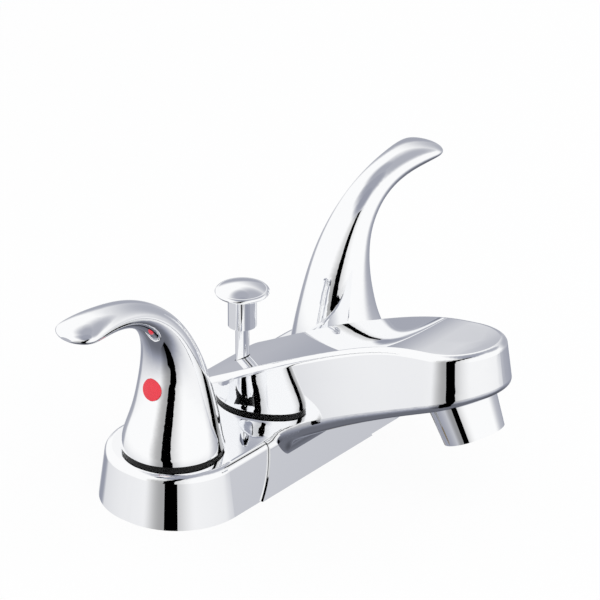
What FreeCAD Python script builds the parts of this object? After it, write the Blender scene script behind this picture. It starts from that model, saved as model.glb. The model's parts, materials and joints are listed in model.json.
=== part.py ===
# Centerset bathroom faucet: two lever handles on 4 inch centres, a cast spout and a lift rod.
# Frame: origin at the middle of the deck face, +X to the right handle, +Y to the wall, +Z up.
# The spout points to -Y. The left valve (-X) is hot, the right valve (+X) is cold.
import FreeCAD, Part
import math
import os
import re

import Sketcher
from FreeCAD import Placement, Rotation, Vector

doc = FreeCAD.newDocument("centerset_faucet")
sheet = doc.addObject("Spreadsheet::Sheet", "Sizes")

# Every driving size, in millimetres and degrees, is written once here.
SIZES = {
    "Deck plate": {
        "handle_centres": 101.6,
        "base_length": 155.6,
        "base_depth": 59.0,
        "base_height": 21.2,
        "base_corner": 28.0,
        "base_draft": 7.5,
        "base_wall": 2.4,
        "base_edge": 2.8,
        "gasket_thick": 2.0,
        "gasket_gap": 0.4,
    },
    "Front apron, which belongs to the spout casting": {
        "apron_top_half": 26.5,
        "apron_foot_half": 34.0,
        "apron_proud": 0.9,
        "apron_thick": 4.6,
        "seam_gap": 0.2,
        "arch_start": 13.0,
    },
    "Hub and spout, seen from above": {
        "hub_half": 23.0,
        "hub_rear": 19.9,
        "hub_corner": 5.0,
        "neck_half": 15.9,
        "neck_foot_half": 24.6,
        "hub_end": 12.1,
        "flank_out": 37.4,
        "flank_share": 0.45,
        "arm_end": 65.4,
        "nose_root": 93.4,
        "nose_reach": 112.8,
        "nose_foot_reach": 124.2,
        "outline_top": 90.0,
    },
    "Hub and spout, seen from the side": {
        "crown_rear": 29.3,
        "crown_hub": 50.0,
        "crown_hub_out": 19.6,
        "crown_arm": 64.7,
        "crown_arm_out": 50.4,
        "crown_neck": 75.2,
        "crown_neck_out": 80.3,
        "crown_head": 78.3,
        "crown_head_out": 99.9,
        "crown_nose": 84.1,
        "arch_throat": 22.8,
        "arch_throat_out": 7.5,
        "arch_arm": 45.2,
        "arch_arm_out": 76.6,
        "arch_nose": 66.6,
        "arch_end_slope": 0.44,
        "top_edge": 2.5,
        "under_edge": 3.5,
        "throat_edge": 7.0,
    },
    "Waterway inside the spout": {
        "inlet_back": 8.0,
        "inlet_bore": 8.5,
        "inlet_depth": 11.0,
        "channel_bore": 5.5,
        "hub_wall": 3.6,
        "hub_roof": 4.5,
        "boss_wall": 3.0,
        "nipple_gap": 1.0,
        "nipple_bore": 5.0,
        "inlet_boss": 10.0,
        "inlet_boss_foot": 4.0,
    },
    "Aerator": {
        "outlet_reach": 104.0,
        "outlet_height": 40.7,
        "outlet_tilt": 25.0,
        "aerator_length": 14.5,
        "aerator_mouth": 11.8,
        "aerator_shoulder": 13.1,
        "aerator_bore": 10.2,
        "aerator_lip": 9.2,
        "aerator_neck": 11.4,
        "aerator_neck_length": 6.5,
        "socket_gap": 0.1,
        "washer_thick": 1.5,
        "lip_thick": 1.5,
        "insert_length": 8.0,
        "insert_hole": 1.5,
        "insert_ring": 6.2,
        "screen_thick": 0.8,
        "screen_hole": 0.8,
        "screen_pitch": 3.2,
    },
    "Valve body and inlet shank": {
        "shank_outer": 10.45,
        "shank_bore": 6.5,
        "shank_length": 48.0,
        "inlet_thread": 13.0,
        "relief_width": 1.0,
        "relief_depth": 0.6,
        "body_flange": 15.0,
        "body_flange_thick": 2.5,
        "body_outer": 11.8,
        "body_top": 28.0,
        "chamber_bore": 9.4,
        "chamber_floor": 8.0,
        "tube_outer": 6.0,
        "tube_bore": 4.0,
        "tube_back": 5.0,
        "tube_height": 11.0,
        "fit_gap": 0.1,
        "running_gap": 0.05,
    },
    "Cartridge": {
        "seal_thick": 1.5,
        "disc_thick": 3.0,
        "fixed_disc": 8.0,
        "moving_disc": 7.6,
        "port_radius": 2.0,
        "port_out": 4.4,
        "window_radius": 3.0,
        "cartridge_chamber": 8.1,
        "stem_radius": 4.6,
        "stem_drive": 6.5,
        "stem_drive_thick": 2.5,
        "stem_top": 56.0,
        "cartridge_rim": 1.5,
        "cartridge_neck": 7.2,
        "cartridge_top": 34.0,
        "oring_thick": 1.7,
        "groove_gap": 0.2,
        "oring_height": 24.0,
        "nut_corner": 14.4,
        "nut_web": 1.7,
        "ring_radius": 19.4,
        "ring_thick": 1.3,
    },
    "Lever handle": {
        "skirt_gap": 0.2,
        "skirt_radius": 19.9,
        "hood_thick": 17.0,
        "hood_half": 16.9,
        "waist_thick": 13.9,
        "waist_half": 14.5,
        "neck_thick": 9.8,
        "neck_width": 11.7,
        "shoulder_thick": 7.0,
        "shoulder_width": 9.2,
        "lever_thick": 5.1,
        "lever_width": 7.4,
        "blade_thick": 4.5,
        "blade_width": 8.1,
        "pad_thick": 3.75,
        "pad_width": 9.3,
        "brow_thick": 2.6,
        "brow_width": 8.7,
        "tip_thick": 1.6,
        "tip_width": 5.9,
        "end_thick": 0.7,
        "end_width": 2.6,
        "lever_reach": 58.6,
        "lever_height": 90.1,
        "bow_low": 66.0,
        "bow_lean": 5.4,
        "bow_high": 94.6,
        "bow_out": 5.6,
        "skirt_wall": 3.0,
        "cavity_waist": 15.5,
        "cavity_waist_height": 28.0,
        "cavity_neck": 13.5,
        "cavity_neck_height": 36.0,
        "cavity_roof": 12.0,
        "cavity_roof_height": 41.0,
        "stem_socket_gap": 1.0,
        "index_height": 46.9,
        "index_radius": 4.3,
        "index_depth": 2.4,
        "index_proud": 0.5,
        "index_tilt": 15.0,
        "grub_radius": 2.0,
        "grub_length": 4.5,
    },
    "Lift rod": {
        "rod_back": 7.6,
        "rod_radius": 2.7,
        "rod_end_radius": 2.4,
        "rod_step": 8.0,
        "rod_below": 70.0,
        "collar_foot": 50.0,
        "collar_radius": 5.6,
        "knob_radius": 10.6,
        "knob_rim": 64.6,
        "knob_under": 1.0,
        "knob_edge": 1.2,
        "knob_band": 1.4,
        "knob_step": 1.0,
        "knob_dome": 2.2,
        "rod_socket": 8.0,
        "rod_hole_gap": 0.3,
        "bushing_wall": 1.3,
        "bushing_length": 7.0,
    },
    "Fixings": {
        "screw_half_span": 13.5,
        "screw_back": 5.0,
        "screw_post": 3.7,
        "screw_radius": 2.0,
        "screw_head": 3.7,
        "screw_head_thick": 2.4,
        "screw_length": 14.0,
        "lug_radius": 5.0,
        "lug_foot": 12.0,
        "lug_thick": 4.0,
        "deck_thick": 20.0,
        "nut_gap": 0.12,
        "wing_nut_radius": 15.0,
        "wing_nut_height": 12.0,
        "wing_reach": 24.0,
        "wing_thick": 5.0,
        "mount_washer": 19.0,
        "mount_washer_thick": 1.6,
    },
}

row = 1
for heading, cells in SIZES.items():
    sheet.set(f"A{row}", heading)
    row += 1
    for alias, number in cells.items():
        sheet.set(f"A{row}", alias)
        sheet.set(f"B{row}", str(number))
        sheet.setAlias(f"B{row}", alias)
        row += 1
doc.recompute()

nodes = {}


def size(name):
    return float(sheet.get(name))


def value(expression):
    """The number that an expression over the sheet gives now."""
    return float(sheet.evalExpression(expression))


def cell(expression):
    """Write sheet names in an expression the way objects outside the sheet need them."""
    known = {alias for cells in SIZES.values() for alias in cells}
    return re.sub("[a-z_]+", lambda word: "Sizes." + word[0] if word[0] in known else word[0], expression)


def bind(obj, **expressions):
    for prop, expression in expressions.items():
        obj.setExpression(prop.replace("__", "."), cell(expression))
    return obj


def place(obj, x="0", y="0", z="0"):
    return bind(obj, Placement__Base__x=x, Placement__Base__y=y, Placement__Base__z=z)


def keep(name, obj):
    """Make an object a sub-part of the faucet under its own name."""
    obj.Label = name
    nodes[name] = obj
    return obj


def cylinder(name, radius, height, x="0", y="0", z="0"):
    obj = doc.addObject("Part::Cylinder", name)
    bind(obj, Radius=radius, Height=height)
    return place(obj, x, y, z)


def box(name, length, width, height, x="0", y="0", z="0"):
    obj = doc.addObject("Part::Box", name)
    bind(obj, Length=length, Width=width, Height=height)
    return place(obj, x, y, z)


def fuse(name, parts):
    obj = doc.addObject("Part::MultiFuse", name)
    obj.Shapes = parts
    obj.Refine = True
    return obj


def cut(name, base, tools):
    """Take each tool away in turn."""
    for tool in tools:
        step = doc.addObject("Part::Cut", name)
        step.Base = base
        step.Tool = tool
        step.Refine = tool is tools[-1]
        base = step
    return base


def origin_plane(body, role):
    return next(f for f in body.Origin.OriginFeatures if f.Role == role)


def sketch_on(body, name, role):
    sketch = body.newObject("Sketcher::SketchObject", name)
    sketch.AttachmentSupport = (origin_plane(body, role), [""])
    sketch.MapMode = "FlatFace"
    return sketch


def add_corner(sketch, index, name, across, up):
    """Pin the start of edge number index with two named sizes."""
    for kind, letter, expression in (("DistanceX", "r", across), ("DistanceY", "z", up)):
        if expression == "0":
            axis = -2 if kind == "DistanceX" else -1
            sketch.addConstraint(Sketcher.Constraint("PointOnObject", index, 1, axis))
            continue
        row = sketch.addConstraint(Sketcher.Constraint(kind, -1, 1, index, 1, value(expression)))
        sketch.renameConstraint(row, f"{letter}{index}_{name}")
        sketch.setExpression(f"Constraints.{letter}{index}_{name}", cell(expression))


def arc_between(start, end, radius):
    """An arc of the stated radius from start to end, with its centre left of the chord."""
    chord = end - start
    rise = math.sqrt(radius**2 - (chord.Length / 2) ** 2)
    side = Vector(-chord.y, chord.x, 0).normalize()
    centre = (start + end) * 0.5 + side * rise
    middle = centre - side * radius
    return Part.Arc(start, middle, end)


def outline(sketch, corners, name="c"):
    """A closed outline. A corner is (across, up), or (across, up, radius) to start an arc."""
    points = [Vector(value(c[0]), value(c[1]), 0) for c in corners]
    for index, corner in enumerate(corners):
        start, end = points[index], points[(index + 1) % len(points)]
        if len(corner) == 3:
            sketch.addGeometry(arc_between(start, end, value(corner[2])))
        else:
            sketch.addGeometry(Part.LineSegment(start, end))
    for index, corner in enumerate(corners):
        after = (index + 1) % len(corners)
        sketch.addConstraint(Sketcher.Constraint("Coincident", index, 2, after, 1))
        add_corner(sketch, index, name, corner[0], corner[1])
        if len(corner) == 3:
            row = sketch.addConstraint(Sketcher.Constraint("Radius", index, value(corner[2])))
            sketch.renameConstraint(row, f"bend{index}_{name}")
            sketch.setExpression(f"Constraints.bend{index}_{name}", cell(corner[2]))
    return sketch


def turned(name, corners, x="0", y="0", z="0"):
    """A turned piece: its half section, as (radius, height) corners, spun about the Z axis."""
    body = doc.addObject("PartDesign::Body", name)
    sketch = outline(sketch_on(body, name + "_section", "XZ_Plane"), corners)
    spin = body.newObject("PartDesign::Revolution", name + "_spin")
    spin.Profile = sketch
    spin.ReferenceAxis = (sketch, ["V_Axis"])
    spin.Angle = 360
    sketch.Visibility = False
    return place(body, x, y, z)


def ring(name, inner, outer, low, high, x="0", y="0"):
    return turned(name, [(inner, low), (outer, low), (outer, high), (inner, high)], x, y)


# Heights and radii that follow from the driving sizes.
HALF = "( handle_centres / 2 )"
SHELF = "base_height"
RING_TOP = "( base_height + ring_thick )"
SKIRT = "( base_height + ring_thick + skirt_gap )"
SEAL_TOP = "( chamber_floor + seal_thick )"
FIXED_TOP = "( chamber_floor + seal_thick + disc_thick )"
MOVING_TOP = "( chamber_floor + seal_thick + disc_thick * 2 )"
BODY_HOLE = "( body_outer + fit_gap * 2 + base_wall )"
APRON_BACK = "( base_depth / 2 - apron_thick )"
INLET_BOSS = "( inlet_bore + boss_wall )"
NIPPLE = "( inlet_bore - fit_gap )"
LUG_TOP = "( lug_foot + lug_thick )"
KNOB_FOOT = "( knob_rim - knob_under )"
CREASE = "( knob_radius - knob_band )"
NUT_TOP = "( body_top + cartridge_rim + nut_web )"
BUSHING = "( rod_radius + running_gap + bushing_wall )"
RELIEF_FOOT = "( inlet_thread - shank_length )"


def rounded_plate(sketch, half_long, half_deep, corner, name):
    """A rectangle with four round corners, drawn counter-clockwise about the origin."""
    inner_x = f"( {half_long} - {corner} )"
    inner_y = f"( {half_deep} - {corner} )"
    corners = [
        (f"0 - {inner_x}", f"0 - {half_deep}"),
        (inner_x, f"0 - {half_deep}", corner),
        (half_long, f"0 - {inner_y}"),
        (half_long, inner_y, corner),
        (inner_x, half_deep),
        (f"0 - {inner_x}", half_deep, corner),
        (f"0 - {half_long}", inner_y),
        (f"0 - {half_long}", f"0 - {inner_y}", corner),
    ]
    return outline(sketch, corners, name)


def escutcheon():
    """The deck plate: a drafted shell, open below, notched in front for the spout's apron."""
    body = doc.addObject("PartDesign::Body", "base_escutcheon")
    foot = rounded_plate(
        sketch_on(body, "base_foot", "XY_Plane"), "( base_length / 2 )", "( base_depth / 2 )", "base_corner", "f"
    )
    block = body.newObject("PartDesign::Pad", "base_block")
    block.Profile = foot
    bind(block, Length="base_height", TaperAngle="0 - base_draft")
    doc.recompute()
    top_face = max(range(len(block.Shape.Faces)), key=lambda i: block.Shape.Faces[i].CenterOfMass.z)
    edge = body.newObject("PartDesign::Fillet", "base_edge_round")
    edge.Base = (block, [f"Face{top_face + 1}"])
    bind(edge, Radius="base_edge")
    doc.recompute()
    hollow = rounded_plate(
        sketch_on(body, "base_hollow_foot", "XY_Plane"),
        "( base_length / 2 - base_wall )",
        "( base_depth / 2 - base_wall )",
        "( base_corner - base_wall )",
        "h",
    )
    pocket = body.newObject("PartDesign::Pocket", "base_hollow")
    pocket.Profile = hollow
    pocket.Reversed = True
    bind(pocket, Length="base_height - base_wall", TaperAngle="0 - base_draft")
    doc.recompute()
    return body


shell = escutcheon()
valve_holes = [
    cylinder(f"{side}_valve_hole", BODY_HOLE, "base_height", f"{sign} {HALF}", "0", "base_height / 2")
    for side, sign in (("hot", "0 -"), ("cold", "0 +"))
]
hub_opening = box(
    "hub_opening",
    "2 * ( hub_half - hub_wall )",
    f"hub_rear + inlet_back + {INLET_BOSS} - hub_wall",
    "base_height",
    "hub_wall - hub_half",
    f"0 - inlet_back - {INLET_BOSS}",
    "base_height / 2",
)


def apron_face(gap):
    """The apron seen from the front: upright sides that flare to the deck in one arc each."""
    top = size("apron_top_half") + gap
    foot = size("apron_foot_half") + gap
    height = size("base_height") + 1
    flare = ((foot - top) ** 2 + size("base_height") ** 2) / (2 * (foot - top))
    angle = math.asin(size("base_height") / flare)
    base = size("base_height")

    def side(sign):
        middle = Vector(
            sign * (top + flare * (1 - math.cos(angle / 2))), 0, base - flare * math.sin(angle / 2)
        )
        return Part.Arc(Vector(sign * foot, 0, 0), middle, Vector(sign * top, 0, base)).toShape()

    corners = [Vector(top, 0, base), Vector(top, 0, height), Vector(-top, 0, height), Vector(-top, 0, base)]
    roof = [Part.makeLine(a, b) for a, b in zip(corners, corners[1:])]
    sill = Part.makeLine(Vector(-foot, 0, 0), Vector(foot, 0, 0))
    wire = Part.Wire(Part.__sortEdges__([side(1), *roof, side(-1), sill]))
    return Part.Face(wire)


def apron_notch():
    """The opening in the deck plate that the apron drops into."""
    front = size("base_depth") / 2 + size("apron_proud") + 1
    back = value(APRON_BACK) - size("seam_gap")
    face = apron_face(size("seam_gap"))
    face.translate(Vector(0, -front, 0))
    return face.extrude(Vector(0, front - back, 0))


notch = doc.addObject("Part::Feature", "apron_notch")
notch.Shape = apron_notch()
keep("base_escutcheon", cut("escutcheon_cut", shell, [*valve_holes, hub_opening, notch]))


def mirrored(shape):
    return shape.mirror(Vector(0, 0, 0), Vector(1, 0, 0))


def nose_quarter(z, half, root, reach):
    """A quarter of an ellipse from the arm's side to the tip of the nose."""
    turn = math.sqrt(0.5)
    unit = Part.Arc(Vector(1, 0, 0), Vector(turn, -turn, 0), Vector(0, -1, 0)).toShape()
    stretch = FreeCAD.Matrix()
    stretch.scale(half, reach - root, 1)
    edge = unit.transformGeometry(stretch)
    edge.translate(Vector(0, -root, z))
    return edge


def spout_outline(z, hub, neck, reach):
    """The hub, arm and nose seen from above, at one height."""
    rear, root, corner = size("hub_rear"), size("nose_root"), size("hub_corner")
    bulge = corner * (1 - math.sqrt(0.5))
    flow = [
        Vector(hub, rear - corner, z),
        Vector(hub, -size("hub_end"), z),
        Vector(neck + (hub - neck) * size("flank_share"), -size("flank_out"), z),
        Vector(neck, -size("arm_end"), z),
        Vector(neck, -root, z),
    ]
    side = Part.BSplineCurve()
    side.interpolate(Points=flow, InitialTangent=Vector(0, -1, 0), FinalTangent=Vector(0, -1, 0))
    turn = Part.Arc(
        Vector(hub - corner, rear, z), Vector(hub - bulge, rear - bulge, z), Vector(hub, rear - corner, z)
    )
    half = [turn.toShape(), side.toShape(), nose_quarter(z, neck, root, reach)]
    back = Part.makeLine(Vector(corner - hub, rear, z), Vector(hub - corner, rear, z))
    return Part.Wire(Part.__sortEdges__([back, *half, *(mirrored(edge) for edge in half)]))


def spout_profile():
    """The hub and arm seen from the side: arched below, rising to the nose on top."""
    shelf, rear = size("base_height"), size("hub_rear")
    draft = math.tan(math.radians(size("base_draft")))
    face = -size("base_depth") / 2 - size("apron_proud") + size("arch_start") * draft
    inside = -value(APRON_BACK)
    start = size("arch_start")
    reach = size("nose_foot_reach") + 1
    top = Part.BSplineCurve()
    top.interpolate(
        [
            Vector(0, rear, size("crown_rear")),
            Vector(0, -size("crown_hub_out"), size("crown_hub")),
            Vector(0, -size("crown_arm_out"), size("crown_arm")),
            Vector(0, -size("crown_neck_out"), size("crown_neck")),
            Vector(0, -size("crown_head_out"), size("crown_head")),
            Vector(0, -reach, size("crown_nose")),
        ]
    )
    under = Part.BSplineCurve()
    under.interpolate(
        Points=[
            Vector(0, face, start),
            Vector(0, face - size("arch_throat_out"), size("arch_throat")),
            Vector(0, -size("arch_arm_out"), size("arch_arm")),
            Vector(0, -reach, size("arch_nose")),
        ],
        InitialTangent=Vector(0, -draft, 1),
        FinalTangent=Vector(0, -1, size("arch_end_slope")),
    )
    corners = [
        Vector(0, face, start),
        Vector(0, inside, start),
        Vector(0, inside, shelf),
        Vector(0, rear, shelf),
        Vector(0, rear, size("crown_rear")),
    ]
    edges = [Part.makeLine(a, b) for a, b in zip(corners, corners[1:])]
    tip = Part.makeLine(Vector(0, -reach, size("arch_nose")), Vector(0, -reach, size("crown_nose")))
    wire = Part.Wire(Part.__sortEdges__([*edges, top.toShape(), tip, under.toShape()]))
    return Part.Face(wire)


def hub_and_arm():
    """The outside of the hub and arm: the outline from above met by the profile from the side."""
    low, high = size("arch_start"), size("outline_top")
    upright = Part.makeLoft(
        [
            spout_outline(low, size("hub_half"), size("neck_foot_half"), size("nose_foot_reach")),
            spout_outline(high, size("hub_half"), size("neck_half"), size("nose_reach")),
        ],
        True,
        True,
    )
    wide = 2 * size("neck_foot_half")
    face = spout_profile()
    face.translate(Vector(-wide, 0, 0))
    return upright.common(face.extrude(Vector(2 * wide, 0, 0)))


def leaning(obj, angle):
    """Turn an object about the X axis; a positive angle leans its top towards the front."""
    obj.Placement = Placement(Vector(0, 0, 0), Rotation(Vector(1, 0, 0), angle))
    return obj


def facing(face):
    """How far a face looks upward at its middle, from -1 to 1."""
    low_u, high_u, low_v, high_v = face.ParameterRange
    return face.normalAt((low_u + high_u) / 2, (low_v + high_v) / 2).z


def spout_rounds(raw):
    """Radii for the edges of the crown and of the arch, which is fullest at the throat."""
    curved = [face for face in raw.Shape.Faces if not isinstance(face.Surface, Part.Plane)]
    crown, arch = max(curved, key=facing), min(curved, key=facing)
    throat, under, top = size("throat_edge"), size("under_edge"), size("top_edge")
    rounds = []
    for index, edge in enumerate(raw.Shape.Edges, 1):
        on_crown = any(edge.isSame(other) for other in crown.Edges)
        on_arch = any(edge.isSame(other) for other in arch.Edges)
        if on_crown:
            rounds.append((index, top, top))
        elif on_arch and edge.BoundBox.ZLength > 2 * throat:
            rounds.append((index, throat, under) if edge.CenterOfMass.x < 0 else (index, under, throat))
        elif on_arch and edge.BoundBox.ZLength > 1:
            rounds.append((index, under, under))
    return rounds


def apron_block():
    """The apron: the seam's outline carried back from a front face that leans with the plate."""
    half_depth, shelf = size("base_depth") / 2, size("base_height")
    draft = math.tan(math.radians(size("base_draft")))
    foot, back, edge = half_depth + size("apron_proud"), value(APRON_BACK), size("base_edge")
    lean = foot - (shelf - edge) * draft
    bulge = edge * (1 - math.sqrt(0.5))
    corners = [
        Vector(0, -lean + edge, shelf),
        Vector(0, -back, shelf),
        Vector(0, -back, 0),
        Vector(0, -foot, 0),
        Vector(0, -lean, shelf - edge),
    ]
    edges = [Part.makeLine(a, b) for a, b in zip(corners, corners[1:])]
    edges.append(Part.Arc(corners[-1], Vector(0, -lean + bulge, shelf - bulge), corners[0]).toShape())
    side = Part.Face(Part.Wire(Part.__sortEdges__(edges)))
    wide = size("apron_foot_half") + 1
    side.translate(Vector(-wide, 0, 0))
    front = apron_face(0)
    front.translate(Vector(0, -foot - 1, 0))
    return front.extrude(Vector(0, foot + 1, 0)).common(side.extrude(Vector(2 * wide, 0, 0)))


def hub_pocket_block():
    """The space inside the hub, under a roof that slopes with the crown."""
    shelf, roof = size("base_height"), size("hub_roof")
    slope = (size("crown_hub") - size("crown_rear")) / (size("hub_rear") + size("crown_hub_out"))
    rear, front = size("hub_rear") - size("hub_wall"), -size("inlet_back") - size("channel_bore")
    half = size("hub_half") - size("hub_wall")
    corners = [
        Vector(-half, rear, shelf),
        Vector(-half, front, shelf),
        Vector(-half, front, size("crown_rear") + slope * (size("hub_rear") - front) - roof),
        Vector(-half, rear, size("crown_rear") + slope * size("hub_wall") - roof),
    ]
    return Part.Face(Part.makePolygon([*corners, corners[0]])).extrude(Vector(2 * half, 0, 0))


def solid_feature(name, shape):
    obj = doc.addObject("Part::Feature", name)
    obj.Shape = shape
    return obj


arm = solid_feature("hub_and_arm", hub_and_arm().Solids[0])
rounded_arm = doc.addObject("Part::Fillet", "rounded_hub_and_arm")
rounded_arm.Base = arm
rounded_arm.Edges = spout_rounds(arm)
apron = solid_feature("apron", apron_block())


def screw_pair(name, radius, height, foot):
    return [
        cylinder(f"{side}_{name}", radius, height, f"{sign} screw_half_span", "screw_back", foot)
        for side, sign in (("left", "0 -"), ("right", "0 +"))
    ]


def along_outlet(obj, distance):
    """Put an object on the outlet's axis, a distance up from the mouth."""
    leaning(obj, -size("outlet_tilt"))
    run = f"( {distance} )"
    across = f"0 - outlet_reach + {run} * sin( outlet_tilt * 1 deg )"
    return place(obj, "0", across, f"outlet_height + {run} * cos( outlet_tilt * 1 deg )")


def channel():
    """The water's way from the inlet socket up the arm to the outlet socket."""
    start = Vector(0, -size("inlet_back"), size("base_height") + size("inlet_depth") / 2)
    tilt, up = math.radians(size("outlet_tilt")), size("aerator_length") + size("aerator_neck_length")
    end = Vector(0, math.sin(tilt) * up - size("outlet_reach"), size("outlet_height") + math.cos(tilt) * up)
    run = end - start
    return Part.makeCylinder(size("channel_bore"), run.Length, start, run)


aerator_boss = along_outlet(cylinder("aerator_boss", "aerator_shoulder", "aerator_neck_length"), "aerator_length")
post_length = f"base_height + hub_wall - {LUG_TOP}"
casting = fuse(
    "casting_outside", [rounded_arm, apron, aerator_boss, *screw_pair("post", "screw_post", post_length, LUG_TOP)]
)
pocket_block = solid_feature("hub_pocket_block", hub_pocket_block())
hub_pocket = cut(
    "hub_pocket",
    pocket_block,
    [
        cylinder("inlet_boss", INLET_BOSS, "crown_hub", "0", "0 - inlet_back", "0"),
        cylinder("rod_boss", f"{BUSHING} + boss_wall / 2", "crown_hub", "0", "rod_back", "0"),
        *screw_pair("post_core", "screw_post", "crown_hub", "0"),
    ],
)
spout_bores = [
    hub_pocket,
    solid_feature("channel", channel()),
    cylinder("inlet_socket", "inlet_bore", "inlet_depth", "0", "0 - inlet_back", SHELF),
    along_outlet(
        cylinder("outlet_socket", "aerator_neck + socket_gap", "aerator_neck_length + washer_thick"),
        "aerator_length",
    ),
    cylinder("rod_hole", "rod_radius + rod_hole_gap", "crown_hub", "0", "rod_back", "0"),
    cylinder("bushing_seat", BUSHING, "base_height + bushing_length", "0", "rod_back", "0"),
    *screw_pair("pilot", "screw_radius", "screw_length", "lug_foot"),
]
keep("spout_body", cut("spout_cut", casting, spout_bores))


def oring(name, outer, x="0", y="0", z="0"):
    obj = doc.addObject("Part::Torus", name)
    bind(obj, Radius1=f"{outer} - oring_thick / 2", Radius2="oring_thick / 2")
    return place(obj, x, y, z)


SPOUT_ORING = "( base_height + inlet_depth / 2 )"


def groove(name, outer, height, x="0", y="0"):
    """A ring of space for an O-ring, open to the outside."""
    half = "( oring_thick / 2 + groove_gap )"
    return ring(
        name, f"{outer} - oring_thick", f"{outer} + 1", f"{height} - {half}", f"{height} + {half}", x, y
    )


def waterway():
    """The brass manifold under the plate: two valve bodies, the cross tube and the spout inlet."""
    solids, hollows = [], []
    for side, sign in (("hot", "0 -"), ("cold", "0 +")):
        x = f"{sign} {HALF}"
        solids += [
            cylinder(f"{side}_shank", "shank_outer", "shank_length + gasket_thick", x, "0", "0 - shank_length"),
            cylinder(f"{side}_flange", "body_flange", "body_flange_thick", x, "0", "gasket_thick"),
            cylinder(f"{side}_body", "body_outer", "body_top - gasket_thick", x, "0", "gasket_thick"),
        ]
        hollows += [
            cylinder(f"{side}_shank_bore", "shank_bore", "shank_length + chamber_floor", x, "0", "0 - shank_length"),
            cylinder(f"{side}_chamber", "chamber_bore", "body_top", x, "0", "chamber_floor"),
            ring(
                f"{side}_thread_relief",
                "shank_outer - relief_depth",
                "shank_outer + 1",
                RELIEF_FOOT,
                f"{RELIEF_FOOT} + relief_width",
                x,
            ),
        ]
    for name, radius, group in (("cross_tube", "tube_outer", solids), ("cross_bore", "tube_bore", hollows)):
        tube = cylinder(name, radius, "handle_centres - shank_bore")
        tube.Placement = Placement(Vector(0, 0, 0), Rotation(Vector(0, 1, 0), 90))
        group.append(place(tube, f"shank_bore / 2 - {HALF}", "0 - tube_back", "tube_height"))
    boss_height = "base_height - inlet_boss_foot"
    nipple_height = "inlet_depth - nipple_gap"
    solids += [
        cylinder("manifold_boss", "inlet_boss", boss_height, "0", "0 - inlet_back", "inlet_boss_foot"),
        cylinder("nipple", NIPPLE, nipple_height, "0", "0 - inlet_back", SHELF),
        *screw_pair("lug", "lug_radius", "lug_thick", "lug_foot"),
        box(
            "lug_bridge",
            "2 * screw_half_span",
            "tube_back + screw_back",
            "lug_thick",
            "0 - screw_half_span",
            "0 - tube_back",
            "lug_foot",
        ),
    ]
    hollows += [
        cylinder("nipple_bore", "nipple_bore", "crown_hub", "0", "0 - inlet_back", "tube_height - tube_bore"),
        groove("nipple_groove", NIPPLE, SPOUT_ORING, "0", "0 - inlet_back"),
        cylinder("rod_clearance", "rod_radius + boss_wall", "base_height", "0", "rod_back", "0"),
        *screw_pair("lug_hole", "screw_radius + fit_gap", "base_height", "0"),
    ]
    return cut("waterway_cut", fuse("waterway_outside", solids), hollows)


keep("waterway", waterway())
keep("spout_oring", oring("spout_oring", NIPPLE, "0", "0 - inlet_back", SPOUT_ORING))


def gasket():
    """The soft plate under the shell, cut out for the apron, the shanks and the rod."""
    body = doc.addObject("PartDesign::Body", "gasket_plate")
    inset = "base_wall - gasket_gap"
    sheet_outline = rounded_plate(
        sketch_on(body, "gasket_outline", "XY_Plane"),
        f"( base_length / 2 - {inset} )",
        f"( base_depth / 2 - {inset} )",
        f"( base_corner - {inset} )",
        "g",
    )
    pad = body.newObject("PartDesign::Pad", "gasket_pad")
    pad.Profile = sheet_outline
    bind(pad, Length="gasket_thick")
    holes = [
        cylinder(f"{side}_gasket_hole", "shank_outer + gasket_gap", "gasket_thick", f"{sign} {HALF}")
        for side, sign in (("hot", "0 -"), ("cold", "0 +"))
    ]
    holes.append(cylinder("rod_gasket_hole", "rod_radius + gasket_gap", "gasket_thick", "0", "rod_back"))
    return cut("gasket_cut", body, [notch, *holes])


keep("base_gasket", gasket())


def ports(name, along):
    """Two water ports on opposite sides of a ceramic disc."""
    holes = []
    for index, sign in enumerate(("0 -", "0 +"), 1):
        shift = [f"{sign} port_out" if axis == along else "0" for axis in "xy"]
        holes.append(cylinder(f"{name}_port{index}", "port_radius", MOVING_TOP, *shift))
    return fuse(f"{name}_ports", holes)


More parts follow.
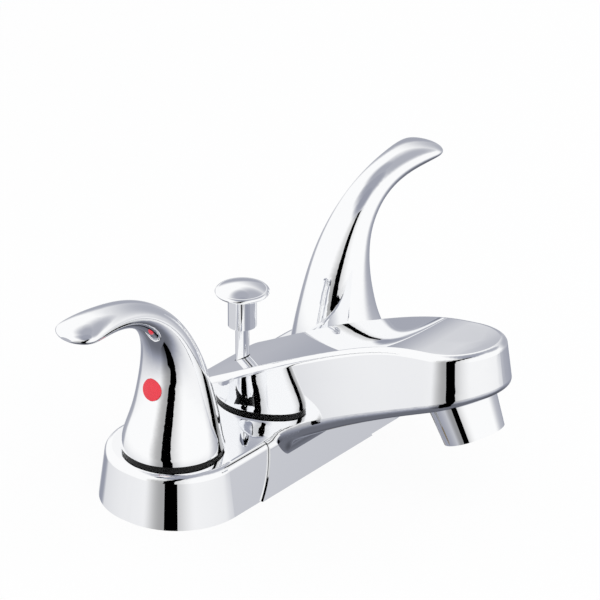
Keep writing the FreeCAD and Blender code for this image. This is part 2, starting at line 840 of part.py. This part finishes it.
def valve_pieces(side):
    """One valve above its body, about its own axis; every piece is placed later."""
    pieces = {}
    pieces["seat_seal"] = ring(f"{side}_seal", "shank_bore", "fixed_disc", "chamber_floor", SEAL_TOP)
    fixed = cylinder(f"{side}_fixed_blank", "fixed_disc", "disc_thick", "0", "0", SEAL_TOP)
    pieces["fixed_disc"] = cut(f"{side}_fixed", fixed, [ports(f"{side}_fixed", "x")])
    moving = cylinder(f"{side}_moving_blank", "moving_disc", "disc_thick", "0", "0", FIXED_TOP)
    pieces["moving_disc"] = cut(f"{side}_moving", moving, [ports(f"{side}_moving", "y")])
    bore, outer = "stem_radius + running_gap", "chamber_bore - fit_gap"
    ceiling = f"{MOVING_TOP} + stem_drive_thick + skirt_gap"
    sleeve = turned(
        f"{side}_sleeve",
        [
            ("cartridge_chamber", SEAL_TOP),
            (outer, SEAL_TOP),
            (outer, "body_top"),
            ("body_outer", "body_top"),
            ("body_outer", "body_top + cartridge_rim"),
            ("cartridge_neck", "body_top + cartridge_rim"),
            ("cartridge_neck", "cartridge_top"),
            (bore, "cartridge_top"),
            (bore, ceiling),
            ("cartridge_chamber", ceiling),
        ],
    )
    window = cylinder(f"{side}_window", "window_radius", "2 * chamber_bore")
    window.Placement = Placement(Vector(0, 0, 0), Rotation(Vector(0, 1, 0), 90))
    place(window, "0 - chamber_bore", "0", MOVING_TOP)
    pieces["cartridge_body"] = cut(f"{side}_cartridge", sleeve, [window])
    floor, half = "( stem_radius - oring_thick )", "( oring_thick / 2 + groove_gap )"
    pieces["stem"] = turned(
        f"{side}_stem",
        [
            ("0", MOVING_TOP),
            ("stem_drive", MOVING_TOP),
            ("stem_drive", f"{MOVING_TOP} + stem_drive_thick"),
            ("stem_radius", f"{MOVING_TOP} + stem_drive_thick"),
            ("stem_radius", f"oring_height - {half}"),
            (floor, f"oring_height - {half}"),
            (floor, f"oring_height + {half}"),
            ("stem_radius", f"oring_height + {half}"),
            ("stem_radius", "stem_top"),
            ("0", "stem_top"),
        ],
    )
    pieces["stem_oring"] = oring(f"{side}_oring", "stem_radius", "0", "0", "oring_height")
    pieces["retaining_nut"] = retaining_nut(side)
    inner = "body_outer + fit_gap"
    pieces["glide_ring"] = turned(
        f"{side}_glide",
        [
            (inner, "base_height - base_wall"),
            (f"{BODY_HOLE} - fit_gap", "base_height - base_wall"),
            (f"{BODY_HOLE} - fit_gap", SHELF),
            ("ring_radius", SHELF),
            ("ring_radius", RING_TOP),
            (inner, RING_TOP),
        ],
    )
    return pieces


def retaining_nut(side):
    """The hexagon cap nut that holds the cartridge down in its body."""
    blank = doc.addObject("Part::Prism", f"{side}_nut_blank")
    blank.Polygon = 6
    bind(blank, Circumradius="nut_corner", Height=f"{NUT_TOP} - {RING_TOP}")
    place(blank, "0", "0", RING_TOP)
    thread = cylinder(f"{side}_nut_thread", "body_outer + fit_gap", f"{NUT_TOP} - nut_web")
    hole = cylinder(f"{side}_nut_hole", "cartridge_neck + fit_gap", NUT_TOP)
    return cut(f"{side}_nut", blank, [thread, hole])


def mounting_pieces(side):
    """The washer and the wing nut that hold the shank under the deck."""
    pieces = {}
    washer_foot = "( 0 - deck_thick - mount_washer_thick )"
    bore = "( shank_outer + nut_gap )"
    pieces["mounting_washer"] = ring(
        f"{side}_washer", bore, "mount_washer", washer_foot, "0 - deck_thick"
    )
    foot = f"( {washer_foot} - wing_nut_height )"
    hub = cylinder(f"{side}_wing_hub", "wing_nut_radius", "wing_nut_height", "0", "0", foot)
    wings = box(
        f"{side}_wings", "2 * wing_reach", "wing_thick", "wing_nut_height", "0 - wing_reach", "0 - wing_thick / 2", foot
    )
    thread = cylinder(f"{side}_wing_thread", bore, "wing_nut_height", "0", "0", foot)
    pieces["mounting_nut"] = cut(f"{side}_wing_nut", fuse(f"{side}_wing_blank", [hub, wings]), [thread])
    return pieces


# Stations along the lever, as a share of its centre line, with half its thickness and half its width.
LEVER_STATIONS = [
    (0.0, "skirt_radius", "skirt_radius"),
    (0.1, "hood_thick", "hood_half"),
    (0.2, "waist_thick", "waist_half"),
    (0.35, "neck_thick", "neck_width"),
    (0.5, "shoulder_thick", "shoulder_width"),
    (0.7, "lever_thick", "lever_width"),
    (0.86, "blade_thick", "blade_width"),
    (0.94, "pad_thick", "pad_width"),
    (0.975, "brow_thick", "brow_width"),
    (0.992, "tip_thick", "tip_width"),
    (1.0, "end_thick", "end_width"),
]
OVAL_POINTS = 12


def lever_line():
    """The lever's centre line: upright from the skirt, then bowed over and out to the tip."""
    line = Part.BezierCurve()
    line.setPoles(
        [
            Vector(0, 0, value(SKIRT)),
            Vector(-size("bow_lean"), 0, size("bow_low")),
            Vector(size("bow_out"), 0, size("bow_high")),
            Vector(size("lever_reach"), 0, size("lever_height")),
        ]
    )
    return line


def lever_section(line, share, thick, width):
    """An oval across the lever's line, with half its thickness and half its width; the rim is level."""
    centre = line.value(share)
    along = line.tangent(share)[0] if share > 0 else Vector(0, 0, 1)
    thick_way, wide_way = Vector(0, 1, 0).cross(along) * thick, Vector(0, width, 0)
    turns = [2 * math.pi * index / OVAL_POINTS for index in range(OVAL_POINTS)]
    oval = Part.BSplineCurve()
    oval.interpolate(
        Points=[centre + thick_way * math.cos(turn) + wide_way * math.sin(turn) for turn in turns],
        Parameters=[*turns, 2 * math.pi],
        PeriodicFlag=True,
    )
    return Part.Wire(oval.toShape())


def lever_outside():
    line = lever_line()
    sections = [lever_section(line, share, size(thick), size(width)) for share, thick, width in LEVER_STATIONS]
    return Part.makeLoft(sections, True, False)


def lever_cavity():
    """The space under the hood, with the socket for the stem above it."""
    corners = [
        (0, 0),
        (size("skirt_radius") - size("skirt_wall"), 0),
        (size("skirt_radius") - size("skirt_wall"), value(SKIRT)),
        (size("cavity_waist"), size("cavity_waist_height")),
        (size("cavity_neck"), size("cavity_neck_height")),
        (size("cavity_roof"), size("cavity_roof_height")),
        (size("stem_radius") + size("running_gap"), size("cavity_roof_height")),
        (size("stem_radius") + size("running_gap"), size("stem_top") + size("stem_socket_gap")),
        (0, size("stem_top") + size("stem_socket_gap")),
    ]
    points = [Vector(radius, 0, height) for radius, height in corners]
    return Part.Face(Part.makePolygon([*points, points[0]])).revolve(Vector(0, 0, 0), Vector(0, 0, 1), 360)


def index_axis():
    """The start and direction of the screw that holds the handle, which the button covers."""
    tilt = math.radians(size("index_tilt"))
    return Vector(0, 0, size("index_height")), Vector(math.cos(tilt), 0, math.sin(tilt))


def index_face(outside):
    """How far along the screw's axis the outside of the handle lies."""
    start, along = index_axis()
    ray = Part.makeLine(start, start + along * 2 * size("skirt_radius")).common(outside)
    return max((vertex.Point - start).Length for vertex in ray.Vertexes)


lever_shape = lever_outside()
INDEX_REACH = index_face(lever_shape)


def lever_handle(side):
    start, along = index_axis()
    seat = start + along * (INDEX_REACH - size("index_depth"))
    tools = [
        lever_cavity(),
        Part.makeCylinder(size("index_radius") + size("fit_gap"), 4 * size("index_depth"), seat, along),
        Part.makeCylinder(size("grub_radius") + size("fit_gap"), INDEX_REACH, start, along),
    ]
    return solid_feature(f"{side}_handle", lever_shape.cut(Part.makeCompound(tools)))


def index_button(side):
    """The colour button: a round plug with a slightly domed face."""
    start, along = index_axis()
    proud, radius, depth = size("index_proud"), size("index_radius"), size("index_depth")
    corners = [Vector(0, 0, -depth), Vector(radius, 0, -depth), Vector(radius, 0, 0)]
    dome = (radius**2 + proud**2) / (2 * proud)
    top = Vector(0, 0, proud)
    middle = Vector(radius / 2, 0, math.sqrt(dome**2 - (radius / 2) ** 2) + proud - dome)
    edges = [Part.makeLine(a, b) for a, b in zip(corners, corners[1:])]
    edges += [Part.Arc(corners[-1], middle, top).toShape(), Part.makeLine(top, corners[0])]
    plug = Part.Face(Part.Wire(edges)).revolve(Vector(0, 0, 0), Vector(0, 0, 1), 360)
    plug.Placement = Placement(start + along * INDEX_REACH, Rotation(Vector(0, 0, 1), along))
    return solid_feature(f"{side}_index_button", plug)


def grub_screw(side):
    """The set screw between the stem and the button, with a hexagon socket."""
    start, along = index_axis()
    near = start + along * ((size("stem_radius") + size("grub_radius") * along.z) / along.x)
    screw = Part.makeCylinder(size("grub_radius"), size("grub_length"), near, along)
    key = size("grub_radius") / 2
    corners = [Vector(key, 0, 0) for _ in range(7)]
    corners = [Rotation(Vector(0, 0, 1), 60 * turn).multVec(corner) for turn, corner in enumerate(corners)]
    socket = Part.Face(Part.makePolygon(corners)).extrude(Vector(0, 0, size("grub_length")))
    socket.Placement = Placement(near + along * (size("grub_length") / 2), Rotation(Vector(0, 0, 1), along))
    return solid_feature(f"{side}_set_screw", screw.cut(socket))


def place_valve(side, sign, turn):
    """Turn one valve's pieces about its axis and set them at its centre."""
    pieces = {**valve_pieces(side), **mounting_pieces(side)}
    pieces["handle"] = lever_handle(side)
    pieces["index_button"] = index_button(side)
    pieces["set_screw"] = grub_screw(side)
    for name, piece in pieces.items():
        assembled = doc.addObject("Part::Compound", f"{side}_{name}_placed")
        assembled.Links = [piece]
        assembled.Placement = Placement(Vector(0, 0, 0), Rotation(Vector(0, 0, 1), turn))
        keep(f"{side}_{name}", place(assembled, f"{sign} {HALF}"))


place_valve("hot", "0 -", 180)
place_valve("cold", "0 +", 0)

SOCKET_ROOF = "( collar_foot + rod_socket )"
keep(
    "lift_rod",
    turned(
        "lift_rod",
        [
            ("0", "0 - rod_below"),
            ("rod_end_radius", "0 - rod_below"),
            ("rod_end_radius", "0 - rod_step"),
            ("rod_radius", "0 - rod_step"),
            ("rod_radius", SOCKET_ROOF),
            ("0", SOCKET_ROOF),
        ],
        "0",
        "rod_back",
    ),
)
keep(
    "lift_knob",
    turned(
        "lift_knob",
        [
            ("0", SOCKET_ROOF),
            ("rod_radius + running_gap", SOCKET_ROOF),
            ("rod_radius + running_gap", "collar_foot"),
            ("collar_radius", "collar_foot"),
            ("collar_radius", KNOB_FOOT),
            ("knob_radius - knob_edge", KNOB_FOOT, "knob_edge"),
            ("knob_radius", "knob_rim", "knob_band"),
            (CREASE, "knob_rim + knob_step", f"( {CREASE} ^ 2 + knob_dome ^ 2 ) / ( 2 * knob_dome )"),
            ("0", "knob_rim + knob_step + knob_dome"),
        ],
        "0",
        "rod_back",
    ),
)
keep(
    "lift_rod_bushing",
    ring(
        "lift_rod_bushing",
        "rod_radius + running_gap",
        BUSHING,
        SHELF,
        "base_height + bushing_length",
        "0",
        "rod_back",
    ),
)


def outlet_piece(name, obj):
    """Set a piece of the aerator, made about its own axis, at the outlet's mouth."""
    return keep(name, along_outlet(obj, "0"))


NECK_TOP = "( aerator_length + aerator_neck_length )"
INSERT_FOOT = "( lip_thick + screen_thick )"
outlet_piece(
    "aerator_housing",
    turned(
        "aerator_housing",
        [
            ("aerator_lip", "0"),
            ("aerator_mouth", "0"),
            ("aerator_shoulder", "aerator_length"),
            ("aerator_neck", "aerator_length"),
            ("aerator_neck", NECK_TOP),
            ("aerator_bore", NECK_TOP),
            ("aerator_bore", "lip_thick"),
            ("aerator_lip", "lip_thick"),
        ],
    ),
)
outlet_piece(
    "aerator_washer",
    ring("aerator_washer", "aerator_bore - washer_thick", "aerator_neck", NECK_TOP, f"{NECK_TOP} + washer_thick"),
)


def hole_ring(name, count, radius, out, height):
    """A ring of equal holes about an axis."""
    holes = []
    for index in range(count):
        turn = 2 * math.pi * index / count
        across, up = f"( {out} ) * {math.cos(turn):.4f}", f"( {out} ) * {math.sin(turn):.4f}"
        holes.append(cylinder(f"{name}{index}", radius, height, across, up))
    return holes


insert_blank = cylinder(
    "insert_blank", "aerator_bore - fit_gap", "insert_length", "0", "0", INSERT_FOOT
)
insert_holes = hole_ring("insert_hole", 8, "insert_hole", "insert_ring", f"{INSERT_FOOT} + insert_length")
outlet_piece("aerator_insert", cut("insert_cut", insert_blank, insert_holes))
screen_blank = cylinder("screen_blank", "aerator_bore - fit_gap", "screen_thick", "0", "0", "lip_thick")
screen_holes = [cylinder("screen_middle", "screen_hole", INSERT_FOOT)]
for turn_number, holes_round in ((1, 6), (2, 12)):
    screen_holes += hole_ring(
        f"screen_row{turn_number}_", holes_round, "screen_hole", f"screen_pitch * {turn_number}", INSERT_FOOT
    )
outlet_piece("aerator_screen", cut("screen_cut", screen_blank, screen_holes))


def fixing_screws():
    """The two screws that draw the spout down onto the manifold from below."""
    shafts = screw_pair("screw_shaft", "screw_radius", "screw_length", "lug_foot")
    heads = screw_pair("screw_cap", "screw_head", "screw_head_thick", "lug_foot - screw_head_thick")
    screws = [fuse(f"screw{index}", [shaft, head]) for index, (shaft, head) in enumerate(zip(shafts, heads), 1)]
    both = doc.addObject("Part::Compound", "spout_screws")
    both.Links = screws
    return both


keep("spout_screws", fixing_screws())

doc.recompute()
for obj in doc.Objects:
    if "Invalid" in obj.State or "Error" in obj.State:
        raise RuntimeError(f"{obj.Label} failed: {obj.State}")
for name, obj in nodes.items():
    if obj.Shape.isNull() or not obj.Shape.isValid() or not obj.Shape.Solids:
        raise RuntimeError(f"{name} has no sound solid")

os.makedirs("parts", exist_ok=True)
for name, obj in nodes.items():
    obj.Shape.exportStep(f"parts/{name}.step")
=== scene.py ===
import json
import math

import bpy
from mathutils import Matrix, Vector

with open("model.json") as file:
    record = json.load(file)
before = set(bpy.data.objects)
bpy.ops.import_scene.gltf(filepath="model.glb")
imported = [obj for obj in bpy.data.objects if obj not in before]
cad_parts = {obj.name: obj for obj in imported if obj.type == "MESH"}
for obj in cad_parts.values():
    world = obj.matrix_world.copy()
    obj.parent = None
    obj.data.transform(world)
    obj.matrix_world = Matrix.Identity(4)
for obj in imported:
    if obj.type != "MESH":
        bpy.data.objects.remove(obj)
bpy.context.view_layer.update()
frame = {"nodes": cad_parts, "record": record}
scene = bpy.context.scene
scene.view_settings.view_transform = "Standard"

BLACK = (0.0, 0.0, 0.0, 1.0)
WHITE = (1.0, 1.0, 1.0, 1.0)

# The camera stands to the left of the faucet's front, above it, with a long lens.
IMAGE_SIZE = 600
SENSOR_WIDTH = 36.0
CAMERA_AZIMUTH = math.radians(-50.76)
CAMERA_RISE = 27.75
CAMERA_DISTANCE = 1.58777
CAMERA_TARGET = Vector((0.0, 0.0, 0.040))
CAMERA_CLIP_END = 20.0
FOCAL_PIXELS = 4115.48
TARGET_PIXEL = (257.58, 353.3)

# The studio's own directions, which the camera, the flag and the room share.
TO_CAMERA = Vector((math.sin(CAMERA_AZIMUTH), -math.cos(CAMERA_AZIMUTH), 0.0))
RIGHTWARD = Vector((math.cos(CAMERA_AZIMUTH), math.sin(CAMERA_AZIMUTH), 0.0))
WORLD_UP = Vector((0.0, 0.0, 1.0))


def cosine(angle):
    """The cosine of an angle in degrees."""
    return math.cos(math.radians(angle))


def sine(angle):
    """The sine of an angle in degrees."""
    return math.sin(math.radians(angle))


def heading(turn, rise):
    """A fixed direction in the room: degrees to the right of the studio's front, and degrees up."""
    level = TO_CAMERA * cosine(turn) + RIGHTWARD * sine(turn)
    return level * cosine(rise) + WORLD_UP * sine(rise)


def make_camera():
    """Place the camera and shift its picture so that the target falls on its pixel."""
    data = bpy.data.cameras.new("camera")
    data.sensor_width = SENSOR_WIDTH
    data.lens = FOCAL_PIXELS / IMAGE_SIZE * SENSOR_WIDTH
    data.clip_end = CAMERA_CLIP_END
    data.shift_x = (IMAGE_SIZE / 2 - TARGET_PIXEL[0]) / IMAGE_SIZE
    data.shift_y = (TARGET_PIXEL[1] - IMAGE_SIZE / 2) / IMAGE_SIZE
    back = heading(0.0, CAMERA_RISE)
    turn = Matrix((RIGHTWARD, back.cross(RIGHTWARD), back)).transposed().to_4x4()
    camera = bpy.data.objects.new("camera", data)
    camera.matrix_world = Matrix.Translation(CAMERA_TARGET + back * CAMERA_DISTANCE) @ turn
    scene.collection.objects.link(camera)
    scene.camera = camera


make_camera()

# Surfaces. Bumps are in metres, and a grain is the scale of a noise, so a high one is fine.
CHROME_COLOR = (0.96, 0.965, 0.975, 1.0)
CHROME_GRAIN = 70.0
CHROME_ROUGHNESS = (0.012, 0.030)
METAL_BUMP = 0.00002
METAL_SPREAD = 0.3
MOULDED_BUMP = 0.000012
MOULDED_GRAIN = 900.0
# The share of a moulded colour that is left in the hollows of its grain: a painted shade.
MOULDED_HOLLOW_SHADE = 0.92
MOULDED_SHINE = 0.5
SMOOTH_GRAIN = 600.0
DULL_BUMP = 0.000002
DULL_SHINE = 0.15


def new_material(name):
    """A material with its nodes, its links and its shader."""
    material = bpy.data.materials.new(name)
    material.use_nodes = True
    nodes = material.node_tree.nodes
    shader = nodes["Principled BSDF"]
    return material, nodes, material.node_tree.links, shader


def add_noise(nodes, links, grain):
    """A noise in the object's own space."""
    place = nodes.new("ShaderNodeTexCoord")
    noise = nodes.new("ShaderNodeTexNoise")
    noise.inputs["Scale"].default_value = grain
    links.new(place.outputs["Object"], noise.inputs["Vector"])
    return noise.outputs["Fac"]


def add_bump(nodes, links, shader, noise, distance):
    """Let the surface rise and sink a little with the noise."""
    bump = nodes.new("ShaderNodeBump")
    bump.inputs["Strength"].default_value = 1.0
    bump.inputs["Distance"].default_value = distance
    links.new(noise, bump.inputs["Height"])
    links.new(bump.outputs["Normal"], shader.inputs["Normal"])


def vary_roughness(nodes, links, shader, noise, low, high):
    """Let the roughness change with the noise."""
    rough = nodes.new("ShaderNodeMapRange")
    rough.inputs["To Min"].default_value = low
    rough.inputs["To Max"].default_value = high
    links.new(noise, rough.inputs["Value"])
    links.new(rough.outputs["Result"], shader.inputs["Roughness"])


def chrome():
    """Bright plate, with a very faint unevenness of its polish."""
    material, nodes, links, shader = new_material("polished_chrome")
    shader.inputs["Base Color"].default_value = CHROME_COLOR
    shader.inputs["Metallic"].default_value = 1.0
    noise = add_noise(nodes, links, CHROME_GRAIN)
    vary_roughness(nodes, links, shader, noise, *CHROME_ROUGHNESS)
    return material


def metal(name, color, roughness, grain):
    """A bare metal, with a fine grain in its surface and its shine."""
    material, nodes, links, shader = new_material(name)
    shader.inputs["Base Color"].default_value = (*color, 1.0)
    shader.inputs["Metallic"].default_value = 1.0
    noise = add_noise(nodes, links, grain)
    add_bump(nodes, links, shader, noise, METAL_BUMP)
    smoothest = roughness * (1.0 - METAL_SPREAD)
    roughest = roughness * (1.0 + METAL_SPREAD)
    vary_roughness(nodes, links, shader, noise, smoothest, roughest)
    return material


def moulded(name, color, roughness, grain=MOULDED_GRAIN, depth=MOULDED_BUMP, shine=MOULDED_SHINE):
    """A plastic, rubber or ceramic, a little darker in the hollows of its grain: random grain tone, with
    painted shade in the hollows.
    """
    material, nodes, links, shader = new_material(name)
    shader.inputs["Roughness"].default_value = roughness
    shader.inputs["Specular IOR Level"].default_value = shine
    noise = add_noise(nodes, links, grain)
    add_bump(nodes, links, shader, noise, depth)
    # Painted shade: the colour darkens where the grain's bump sinks.
    shade = nodes.new("ShaderNodeMix")
    shade.data_type = "RGBA"
    shade.inputs["A"].default_value = (*(part * MOULDED_HOLLOW_SHADE for part in color), 1.0)
    shade.inputs["B"].default_value = (*color, 1.0)
    links.new(noise, shade.inputs["Factor"])
    links.new(shade.outputs["Result"], shader.inputs["Base Color"])
    return material


MATERIALS = {
    "chrome_body": chrome(),
    "brass_body": metal("cast_brass", (0.71, 0.55, 0.30), 0.35, 400.0),
    "gasket_rubber": moulded("foam_rubber", (0.045, 0.045, 0.045), 0.9, 1500.0),
    "seal_rubber": moulded("nitrile_rubber", (0.03, 0.03, 0.03), 0.6),
    "steel_fixings": metal("plain_steel", (0.62, 0.62, 0.63), 0.28, 1200.0),
    "aerator_plastic": moulded("white_acetal", (0.78, 0.78, 0.76), 0.4),
    "black_plastic": moulded("black_acetal", (0.01, 0.01, 0.01), 0.3, SMOOTH_GRAIN, DULL_BUMP, DULL_SHINE),
    "fixing_plastic": moulded("white_nylon", (0.72, 0.72, 0.70), 0.5),
    "red_index": moulded("red_button", (0.84, 0.035, 0.06), 0.3, SMOOTH_GRAIN),
    "blue_index": moulded("blue_button", (0.03, 0.10, 0.62), 0.3, SMOOTH_GRAIN),
    "ceramic": moulded("lapped_ceramic", (0.82, 0.80, 0.76), 0.15),
}


def finish_nodes():
    """Give every CAD node the material of its slot."""
    slots = {part["node"]: part["material_slot"] for part in frame["record"]["subparts"]}
    for name, node in frame["nodes"].items():
        node.data.materials.clear()
        node.data.materials.append(MATERIALS[slots[name]])


finish_nodes()


def fade(nodes, links, source, start, end, low, high):
    """Map a value smoothly from the range start to end onto the range low to high."""
    node = nodes.new("ShaderNodeMapRange")
    node.interpolation_type = "SMOOTHSTEP"
    node.inputs["From Min"].default_value = start
    node.inputs["From Max"].default_value = end
    node.inputs["To Min"].default_value = low
    node.inputs["To Max"].default_value = high
    links.new(source, node.inputs["Value"])
    return node.outputs["Result"]


def combine(nodes, links, operation, first, second=0.0):
    """Calculate with two values, each of them a number or the output of a node."""
    node = nodes.new("ShaderNodeMath")
    node.operation = operation
    for socket, source in zip(node.inputs, (first, second)):
        if isinstance(source, float):
            socket.default_value = source
        else:
            links.new(source, socket)
    return node.outputs["Value"]


def along(nodes, links, source, direction):
    """How far a vector reaches along a direction."""
    node = nodes.new("ShaderNodeVectorMath")
    node.operation = "DOT_PRODUCT"
    node.inputs[1].default_value = direction
    links.new(source, node.inputs[0])
    return node.outputs["Value"]


def mix_shaders(nodes, links, share, first, second):
    """Blend two shaders, with the given share of the second."""
    mix = nodes.new("ShaderNodeMixShader")
    links.new(share, mix.inputs["Fac"])
    links.new(first, mix.inputs[1])
    links.new(second, mix.inputs[2])
    return mix.outputs["Shader"]


# The room that the chrome mirrors has white walls. All angles are in degrees, and a level of 1 is white.
# Soft dark areas: turn and rise of the middle, the angles from it where they begin and are full, the level.
DARK_AREAS = [
    (180.0, 0.0, 24.0, 6.0, 0.40),
    (-150.0, -19.0, 20.0, 8.0, 0.48),
    (140.0, -30.0, 58.0, 20.0, 0.50),
    (148.0, 4.0, 45.0, 5.0, 0.44),
    (138.0, 60.0, 34.0, 8.0, 0.45),
    (180.0, 70.0, 24.0, 8.0, 0.42),
    (-10.0, 76.0, 24.0, 8.0, 0.34),
]

# The grey ceiling: the rise where it begins, the rise where it is full, and its level there.
CEILING = (60.0, 79.0, 0.37)

# Darkness from below: the rise where it is full, the rise where it ends, and its level where it is full.
UNDERNEATH = (-66.0, -6.0, 0.15)

# The greys of the room are a little blue. This is the colour at one level between black and white.
GREY_LEVEL = 0.33
GREY_COLOR = (0.31, 0.325, 0.39, 1.0)


def studio_world():
    """The room's colour in every direction. The camera itself sees plain white."""
    world = bpy.data.worlds.new("studio")
    world.use_nodes = True
    scene.world = world
    nodes, links = world.node_tree.nodes, world.node_tree.links
    direction = nodes.new("ShaderNodeTexCoord").outputs["Generated"]
    height = along(nodes, links, direction, WORLD_UP)
    begin, full, dim = CEILING
    level = fade(nodes, links, height, sine(begin), sine(full), 1.0, dim)
    for turn, rise, begin, full, dim in DARK_AREAS:
        near = along(nodes, links, direction, heading(turn, rise))
        shade = fade(nodes, links, near, cosine(begin), cosine(full), 1.0, dim)
        level = combine(nodes, links, "MINIMUM", level, shade)
    full, end, dim = UNDERNEATH
    shade = fade(nodes, links, height, sine(full), sine(end), dim, 1.0)
    level = combine(nodes, links, "MULTIPLY", level, shade)
    ramp = nodes.new("ShaderNodeValToRGB")
    ramp.color_ramp.elements[0].color = BLACK
    ramp.color_ramp.elements[1].color = WHITE
    ramp.color_ramp.elements.new(GREY_LEVEL).color = GREY_COLOR
    links.new(level, ramp.inputs["Fac"])
    path = nodes.new("ShaderNodeLightPath")
    seen = nodes.new("ShaderNodeMix")
    seen.data_type = "RGBA"
    seen.inputs["B"].default_value = WHITE
    links.new(path.outputs["Is Camera Ray"], seen.inputs["Factor"])
    links.new(ramp.outputs["Color"], seen.inputs["A"])
    background = nodes["Background"]
    background.inputs["Strength"].default_value = 1.0
    links.new(seen.outputs["Result"], background.inputs["Color"])


studio_world()

# A black flag stands upright in front of the faucet, and only mirrored rays see it.
# Its heights count from the deck, and its sideways sizes to the picture's right.
FLAG_DISTANCE = 0.450
FLAG_SIDE = -0.130
FLAG_HALF = 0.075
FLAG_EDGE = 0.002

# Low down its middle steps to the right. Lower still its foot is wider, and reaches further to the left.
FLAG_STEP = 0.026
FLAG_STEP_LOW = -0.060
FLAG_STEP_HIGH = -0.030
FLAG_FOOT = 0.030
FLAG_FOOT_LOW = -0.230
FLAG_FOOT_HIGH = -0.150

# Above the bend it leans to the right, by this share of the height above the bend.
FLAG_BEND = 0.20
FLAG_LEAN = 0.29

# A soft grey margin lies round a line to the left of the flag's middle, and fades out at this reach.
MARGIN_REACH = 0.380
MARGIN_SIDE = 0.090
MARGIN_SHADE = 0.60

# The margin weakens with height: where that begins, where it ends, and the share that is left.
MARGIN_TOP = (0.12, 0.36, 0.55)

# The sheet that carries the flag and its margin: half its width, and the heights of its edges.
SHEET_HALF = 0.600
SHEET_LOW = -1.00
SHEET_HIGH = 0.95


def flag_material():
    """Black on the flag, partly black on its margin, and clear elsewhere."""
    material, nodes, links, shader = new_material("black_flag")
    nodes.remove(shader)
    place = nodes.new("ShaderNodeSeparateXYZ")
    links.new(nodes.new("ShaderNodeTexCoord").outputs["Object"], place.inputs["Vector"])
    height = place.outputs["Y"]
    step = fade(nodes, links, height, FLAG_STEP_LOW, FLAG_STEP_HIGH, FLAG_STEP, 0.0)
    foot = fade(nodes, links, height, FLAG_FOOT_LOW, FLAG_FOOT_HIGH, FLAG_FOOT, 0.0)
    shift = combine(nodes, links, "SUBTRACT", step, foot)
    bent = combine(nodes, links, "MAXIMUM", height, FLAG_BEND)
    bent = combine(nodes, links, "SUBTRACT", bent, FLAG_BEND)
    lean = combine(nodes, links, "MULTIPLY", bent, FLAG_LEAN)
    side = combine(nodes, links, "SUBTRACT", place.outputs["X"], shift)
    side = combine(nodes, links, "SUBTRACT", side, lean)

    across = combine(nodes, links, "ABSOLUTE", side)
    across = combine(nodes, links, "SUBTRACT", across, foot)
    core = fade(nodes, links, across, FLAG_HALF - FLAG_EDGE, FLAG_HALF + FLAG_EDGE, 1.0, 0.0)

    across = combine(nodes, links, "ADD", side, MARGIN_SIDE)
    across = combine(nodes, links, "ABSOLUTE", across)
    margin = fade(nodes, links, across, 0.0, MARGIN_REACH, MARGIN_SHADE, 0.0)
    begin, end, share = MARGIN_TOP
    strength = fade(nodes, links, height, begin, end, 1.0, share)
    margin = combine(nodes, links, "MULTIPLY", margin, strength)

    opacity = combine(nodes, links, "MAXIMUM", core, margin)
    clear = nodes.new("ShaderNodeBsdfTransparent").outputs["BSDF"]
    black = nodes.new("ShaderNodeEmission")
    black.inputs["Color"].default_value = BLACK
    surface = mix_shaders(nodes, links, opacity, clear, black.outputs["Emission"])
    links.new(surface, nodes["Material Output"].inputs["Surface"])
    return material


def black_flag():
    """Place the flag's sheet, upright and square to the camera's azimuth."""
    corners = [
        (-SHEET_HALF, SHEET_LOW, 0.0),
        (SHEET_HALF, SHEET_LOW, 0.0),
        (SHEET_HALF, SHEET_HIGH, 0.0),
        (-SHEET_HALF, SHEET_HIGH, 0.0),
    ]
    mesh = bpy.data.meshes.new("black_flag")
    mesh.from_pydata(corners, [], [(0, 1, 2, 3)])
    mesh.materials.append(flag_material())
    flag = bpy.data.objects.new("black_flag", mesh)
    turn = Matrix((RIGHTWARD, WORLD_UP, TO_CAMERA)).transposed().to_4x4()
    flag.matrix_world = Matrix.Translation(TO_CAMERA * FLAG_DISTANCE + RIGHTWARD * FLAG_SIDE) @ turn
    flag.visible_camera = False
    flag.visible_diffuse = False
    flag.visible_transmission = False
    flag.visible_shadow = False
    scene.collection.objects.link(flag)


black_flag()

# The floor glows white to the camera, and the rest of its shade keeps a faint shadow.
FLOOR_SIZE = 6.0
FLOOR_COLOR = (0.9, 0.9, 0.9, 1.0)
FLOOR_ROUGHNESS = 0.9
FLOOR_GLOW = 0.92


def floor():
    """A white floor that keeps a faint shadow, and that polished metal sees past."""
    bpy.ops.mesh.primitive_plane_add(size=FLOOR_SIZE, location=(0.0, 0.0, 0.0))
    plane = bpy.context.object
    plane.name = "floor"
    material, nodes, links, shader = new_material("white_floor")
    shader.inputs["Base Color"].default_value = FLOOR_COLOR
    shader.inputs["Roughness"].default_value = FLOOR_ROUGHNESS
    glow = nodes.new("ShaderNodeEmission")
    glow.inputs["Strength"].default_value = 1.0
    path = nodes.new("ShaderNodeLightPath")
    share = combine(nodes, links, "MULTIPLY", path.outputs["Is Camera Ray"], FLOOR_GLOW)
    seen = mix_shaders(nodes, links, share, shader.outputs["BSDF"], glow.outputs["Emission"])
    clear = nodes.new("ShaderNodeBsdfTransparent").outputs["BSDF"]
    surface = mix_shaders(nodes, links, path.outputs["Is Glossy Ray"], seen, clear)
    links.new(surface, nodes["Material Output"].inputs["Surface"])
    plane.data.materials.append(material)


floor()

# Two soft lamps, which the chrome doesn't mirror.
LAMP_SIZE = 0.8


def softbox(name, location, power):
    """A square lamp that points at the camera's target."""
    data = bpy.data.lights.new(name, "AREA")
    data.shape = "SQUARE"
    data.size = LAMP_SIZE
    data.energy = power
    lamp = bpy.data.objects.new(name, data)
    lamp.location = location
    lamp.rotation_euler = (Vector(location) - CAMERA_TARGET).to_track_quat("Z", "Y").to_euler()
    lamp.visible_glossy = False
    scene.collection.objects.link(lamp)


softbox("key_light", (-0.6, -0.9, 1.2), 6.0)
softbox("fill_light", (0.9, -0.5, 0.9), 3.0)
